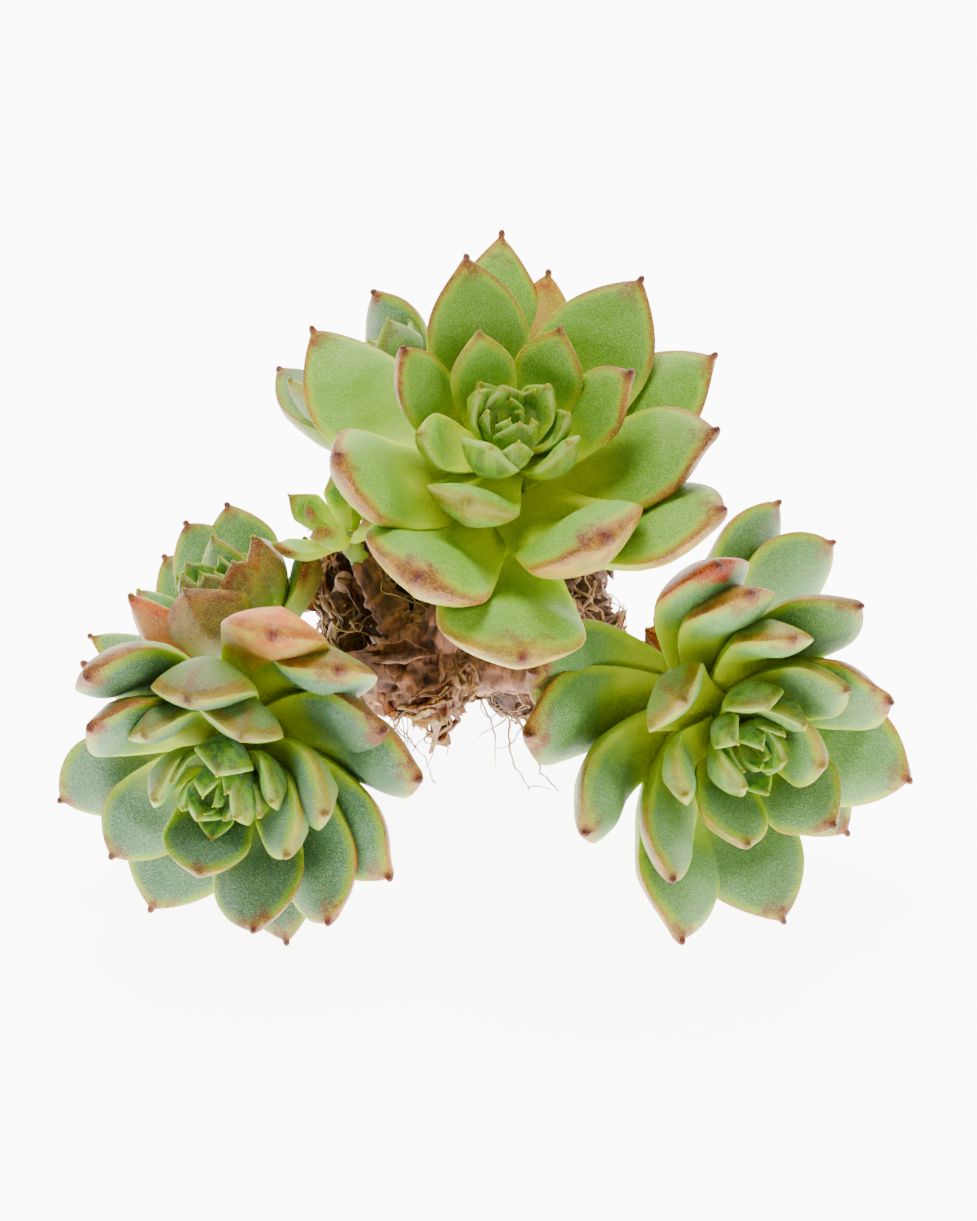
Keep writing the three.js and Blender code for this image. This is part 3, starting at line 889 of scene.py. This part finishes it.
# The roots: a few thick tapering ones that carry the lump, and a mat of thin wiry
# ones that wander over it, fray out at its edges and end in fine yellow tips.
ROOT_SEED = 5
THICK_ROOTS, FINE_ROOTS = 16, 330
# Lines with no more points than this are too short to keep.
SHORTEST = 5
LIFT_FROM_SOIL = (0.0001, 0.0007)
LIFT_FROM_CARD = 0.0004
soil_tree = BVHTree.FromPolygons([v.co.copy() for v in soil.data.vertices],
                                 [tuple(p.vertices) for p in soil.data.polygons])


def random_direction(chance):
    """Any way at all, each as likely as the next."""
    z = chance.uniform(-1, 1)
    turn = chance.uniform(0, 2 * math.pi)
    flat = math.sqrt(1 - z * z)
    return Vector((flat * math.cos(turn), flat * math.sin(turn), z))


def creeping_line(start, heading, steps, step, chance, cling, drop, wander):
    """A line that creeps over the soil, then hangs and curls once it leaves it.

    cling is the share of its steps on the soil, and drop and wander are how hard
    it is pulled down and turned aside at each step.
    """
    line, here, way = [start], start, heading.normalized()
    for i in range(steps):
        way = (way + random_direction(chance) * wander + Vector((0, 0, -drop))).normalized()
        here = here + way * step
        near, normal, _, _ = soil_tree.find_nearest(here)
        if i < steps * cling:
            here = near + normal * chance.uniform(*LIFT_FROM_SOIL)
            way = (way - normal * way.dot(normal)).normalized()
        here.z = max(here.z, lowest.z + LIFT_FROM_CARD)
        here = Vector(min(max(c, l), h) for c, l, h in zip(here, root_low, root_high))
        if (here - line[-1]).length > step * 0.2:
            line.append(here.copy())
    return line


def smoothed(line):
    """The same line with its corners cut."""
    finer = [line[0]]
    for a, b in zip(line, line[1:]):
        finer += [a.lerp(b, 0.25), a.lerp(b, 0.75)]
    return finer + [line[-1]]


def root_mesh(name, lines, sides):
    """Many roots as one object. Each is (line, radius at its start, radius at its end)."""
    points, faces, marks, owns = [], [], [], []
    for own, (line, start, end) in enumerate(lines):
        count = len(line)
        shares = [i / (count - 1) for i in range(count)]
        radii = [(start + (end - start) * s) * (1 + 0.15 * math.sin(17 * s * count / 20 + own))
                 for s in shares]
        radii[-1] *= 0.3
        faces += ring_faces(count - 1, sides, len(points))
        points += round_bar(line, radii, sides)
        marks += [s for s in shares for _ in range(sides)]
        owns += [(own * 0.618) % 1] * (count * sides)
    piece = plain_mesh(name, points, faces)
    add_mark(piece, "along", marks)
    add_mark(piece, "own", owns)
    return piece


def root_skin(name, dark, light, tip):
    """Dull fibre from dark to light, root by root, with fresh tips on some."""
    skin, tree, shader = node_material(name)
    n = Nodes(tree)
    along, own = n.mark("along"), n.mark("own")
    mottle = n.noise(800, 4)
    base = n.mix(n.plus(n.times(own, 0.7), n.times(mottle, 0.4)), dark, light)
    base = n.mix(n.times(n.span(along, 0.82, 0.97), n.span(own, 0.55, 0.7)), base, tip)
    n.feed(shader.inputs["Base Color"], base)
    n.feed(shader.inputs["Roughness"], n.plus(0.5, n.times(mottle, 0.35)))
    n.feed(shader.inputs["Normal"], n.bump(mottle, 0.6, 0.0002))
    return skin


chance = random.Random(ROOT_SEED)
thick_lines = []
for i in range(THICK_ROOTS):
    start_way = Vector((math.cos(i * 2.4), math.sin(i * 2.4), chance.uniform(-0.3, 0.7)))
    start, normal, _, _ = soil_tree.find_nearest(lump_middle + start_way * 0.02)
    heading = normal.cross(Vector((0, 0, 1))) * chance.uniform(-1, 1) + Vector((0, 0, -1))
    line = creeping_line(start, heading, steps=26, step=0.0013, chance=chance,
                         cling=chance.uniform(0.5, 0.9), drop=0.15, wander=0.35)
    if len(line) > SHORTEST:
        thick_lines.append((smoothed(line), chance.uniform(0.0007, 0.0013), 0.0003))
fine_lines = []
for _ in range(FINE_ROOTS):
    start = soil_tree.find_nearest(lump_middle + random_direction(chance) * 0.03)[0]
    heading = random_direction(chance)
    steps = chance.randrange(14, 42)
    cling = chance.choice((0.35, 0.7, 1.0, 1.0))
    line = creeping_line(start, heading, steps, step=0.0009, chance=chance,
                         cling=cling, drop=0.12, wander=0.55)
    if len(line) > SHORTEST:
        fine_lines.append((smoothed(line), chance.uniform(0.00013, 0.00034), 0.00008))
thick_roots = root_mesh("thick_roots", thick_lines, sides=12)
thick_roots.data.materials.append(root_skin(
    "thick_root_skin", colour_of(84, 52, 32), colour_of(170, 122, 84), colour_of(150, 104, 62)))
fine_roots = root_mesh("fine_roots", fine_lines, sides=5)
fine_roots.data.materials.append(root_skin(
    "fine_root_skin", colour_of(60, 38, 24), colour_of(182, 136, 94), colour_of(214, 184, 40)))
for piece in (soil, thick_roots, fine_roots):
    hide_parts("root_mass")
    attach(piece, "root")

# The dead leaves: thin, dry, papery remains of shed leaves, shrivelled lengthwise into
# tan and brown strips that still cling to the stems and hang down over the soil.
HUSK_SEED = 11
HEAD_HUSKS, KNOT_HUSKS, SOIL_HUSKS = 8, 26, 60
# How far out from the middle of a stem its strips start, in stem radii.
HUSK_SEAT = 0.8
HUSK_ROWS, HUSK_COLUMNS = 22, 14
HUSK_THICKNESS = 0.00012
HUSK_CRUMPLES = ((420, 0.0007), (1100, 0.0003))


def husk(line, outwards, width, seed):
    """A closed, crumpled, thin strip along a line. Its top sheet comes first."""
    shift = Vector((seed * 1.7, seed * 4.1, seed * 0.9))
    furl = 1.4 + (seed * 0.618) % 1
    top, bottom = [], []
    for i, (middle, outward) in enumerate(zip(line, outwards)):
        t = i / (HUSK_ROWS - 1)
        ahead = (line[min(i + 1, HUSK_ROWS - 1)] - line[max(i - 1, 0)]).normalized()
        across = outward.cross(ahead).normalized()
        half = width / 2 * (0.45 + 0.55 * math.sin(math.pi * min(1, t * 0.9 + 0.1)))
        half *= 1 - 0.85 * t**4
        half *= 1 + 0.6 * noise.noise(Vector((t * 5, seed * 2.3, 0)))
        for k in range(HUSK_COLUMNS):
            x = 2 * k / (HUSK_COLUMNS - 1) - 1
            turn = furl * x
            point = middle + across * half * math.sin(turn) / furl * 1.3
            point += outward * half * (1 - math.cos(turn)) / furl
            pleat = noise.noise(Vector((x * 4.5, t * 1.5, seed * 0.7))) * 0.0009
            point += outward * (pleat + lumps(point, HUSK_CRUMPLES, shift))
            top.append(point + outward * HUSK_THICKNESS)
            bottom.append(point - outward * HUSK_THICKNESS)
    return top + bottom


def sheet_faces(first):
    """Faces of a strip's top and bottom sheets, and of the rim that joins them."""
    count = HUSK_ROWS * HUSK_COLUMNS
    faces = []
    for i in range(HUSK_ROWS - 1):
        for k in range(HUSK_COLUMNS - 1):
            a = first + i * HUSK_COLUMNS + k
            quad = (a, a + 1, a + 1 + HUSK_COLUMNS, a + HUSK_COLUMNS)
            faces.append(quad)
            faces.append(tuple(v + count for v in reversed(quad)))
    rim = list(range(HUSK_COLUMNS))
    rim += [i * HUSK_COLUMNS + HUSK_COLUMNS - 1 for i in range(1, HUSK_ROWS)]
    rim += [(HUSK_ROWS - 1) * HUSK_COLUMNS + k for k in range(HUSK_COLUMNS - 2, -1, -1)]
    rim += [i * HUSK_COLUMNS for i in range(HUSK_ROWS - 2, 0, -1)]
    for a, b in zip(rim, rim[1:] + rim[:1]):
        faces.append((first + b, first + a, first + a + count, first + b + count))
    return faces


def husk_skin():
    """Dry brown paper with dark veins along it, letting a little light through."""
    skin, tree, shader = node_material("dry_leaf")
    n = Nodes(tree)
    veins = n.noise(1300, 5, 0.65, n.stretched((1, 1, 0.2)))
    base = n.mix(n.span(n.noise(190, 4), 0.3, 0.7), colour_of(82, 42, 24), colour_of(160, 106, 70))
    base = n.mix(n.times(n.span(veins, 0.42, 0.6), 0.8), base, colour_of(58, 28, 16))
    n.feed(shader.inputs["Base Color"], base)
    n.feed(shader.inputs["Roughness"], n.plus(0.5, n.times(veins, 0.35)))
    n.feed(shader.inputs["Normal"], n.bump(veins, 0.6, 0.0004))
    shader.inputs["Subsurface Weight"].default_value = 0.2
    shader.inputs["Subsurface Radius"].default_value = (1.0, 0.5, 0.25)
    shader.inputs["Subsurface Scale"].default_value = 0.001
    return skin


points, faces = [], []
chance = random.Random(HUSK_SEED)
# The way from the knot to the deep hollow of the soil, which no strip hangs over.
OVER_HOLLOW = Vector((-0.5, -0.6, -0.6)).normalized()


def add_husk(line, outwards, width):
    """Add one strip, its line brought to as many points as a strip has rows."""
    shares = np.linspace(0, len(line) - 1, HUSK_ROWS)
    even = [line[int(s)].lerp(line[min(int(s) + 1, len(line) - 1)], s % 1) for s in shares]
    faces.extend(sheet_faces(len(points)))
    points.extend(husk(even, [outwards[round(s)] for s in shares], width, chance.randrange(1000)))


# on each stem, close under its green shoot
for head_name, head in HEADS.items():
    if head_name == "offset":
        continue
    for i in range(HEAD_HUSKS):
        turn = math.radians(GOLDEN_ANGLE * i)
        outward = head["east"] * math.cos(turn) + head["north"] * math.sin(turn)
        place = head["middle"] - head["axis"] * (SHOOT_BELOW + chance.uniform(0, 0.008))
        place += outward * STEM_RADIUS * HUSK_SEAT
        end = place - head["axis"] * chance.uniform(0.004, 0.008) + outward * chance.uniform(0, 0.003)
        line = [place, place.lerp(end, 0.5) - outward * 0.0005, end]
        add_husk(line, [outward] * 3, chance.uniform(0.003, 0.005))
# round the knot
for _ in range(KNOT_HUSKS):
    outward = Vector((chance.uniform(-1, 1), chance.uniform(-1, 0.4), chance.uniform(-0.7, 0.8)))
    outward.normalize()
    if outward.dot(OVER_HOLLOW) > 0.7:
        continue
    angle = chance.uniform(0.3, 0.5)
    swing = Matrix.Rotation(angle, 3, outward.cross(random_direction(chance)).normalized())
    outwards = [outward, swing @ outward, swing @ swing @ outward, swing @ swing @ swing @ outward]
    line = [crown + way * chance.uniform(0.0064, 0.0074) for way in outwards]
    add_husk(line, outwards, chance.uniform(0.003, 0.006))
# over the soil, from the knot down
for _ in range(SOIL_HUSKS):
    way = Vector((chance.uniform(-1, 0.9), chance.uniform(-1, 0.1), chance.uniform(-0.2, 0.9)))
    way.normalize()
    if way.dot(CAVITY) > 0.84:
        continue
    start = soil_tree.find_nearest(lump_middle + way * 0.03)[0]
    heading = Vector((chance.uniform(-0.6, 0.6), chance.uniform(-0.3, 0.3), -1))
    line = creeping_line(start, heading, steps=chance.randrange(8, 16), step=0.0011, chance=chance,
                         cling=1, drop=0.05, wander=0.2)
    if len(line) > SHORTEST:
        outwards = [soil_tree.find_nearest(p)[1] for p in line]
        line = [p + o * chance.uniform(0.0002, 0.0008) for p, o in zip(line, outwards)]
        add_husk(line, outwards, chance.uniform(0.002, 0.0045))
husks = plain_mesh("dead_leaves", points, faces)
husks.data.materials.append(husk_skin())
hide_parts("woody_crown")
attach(husks, "root")
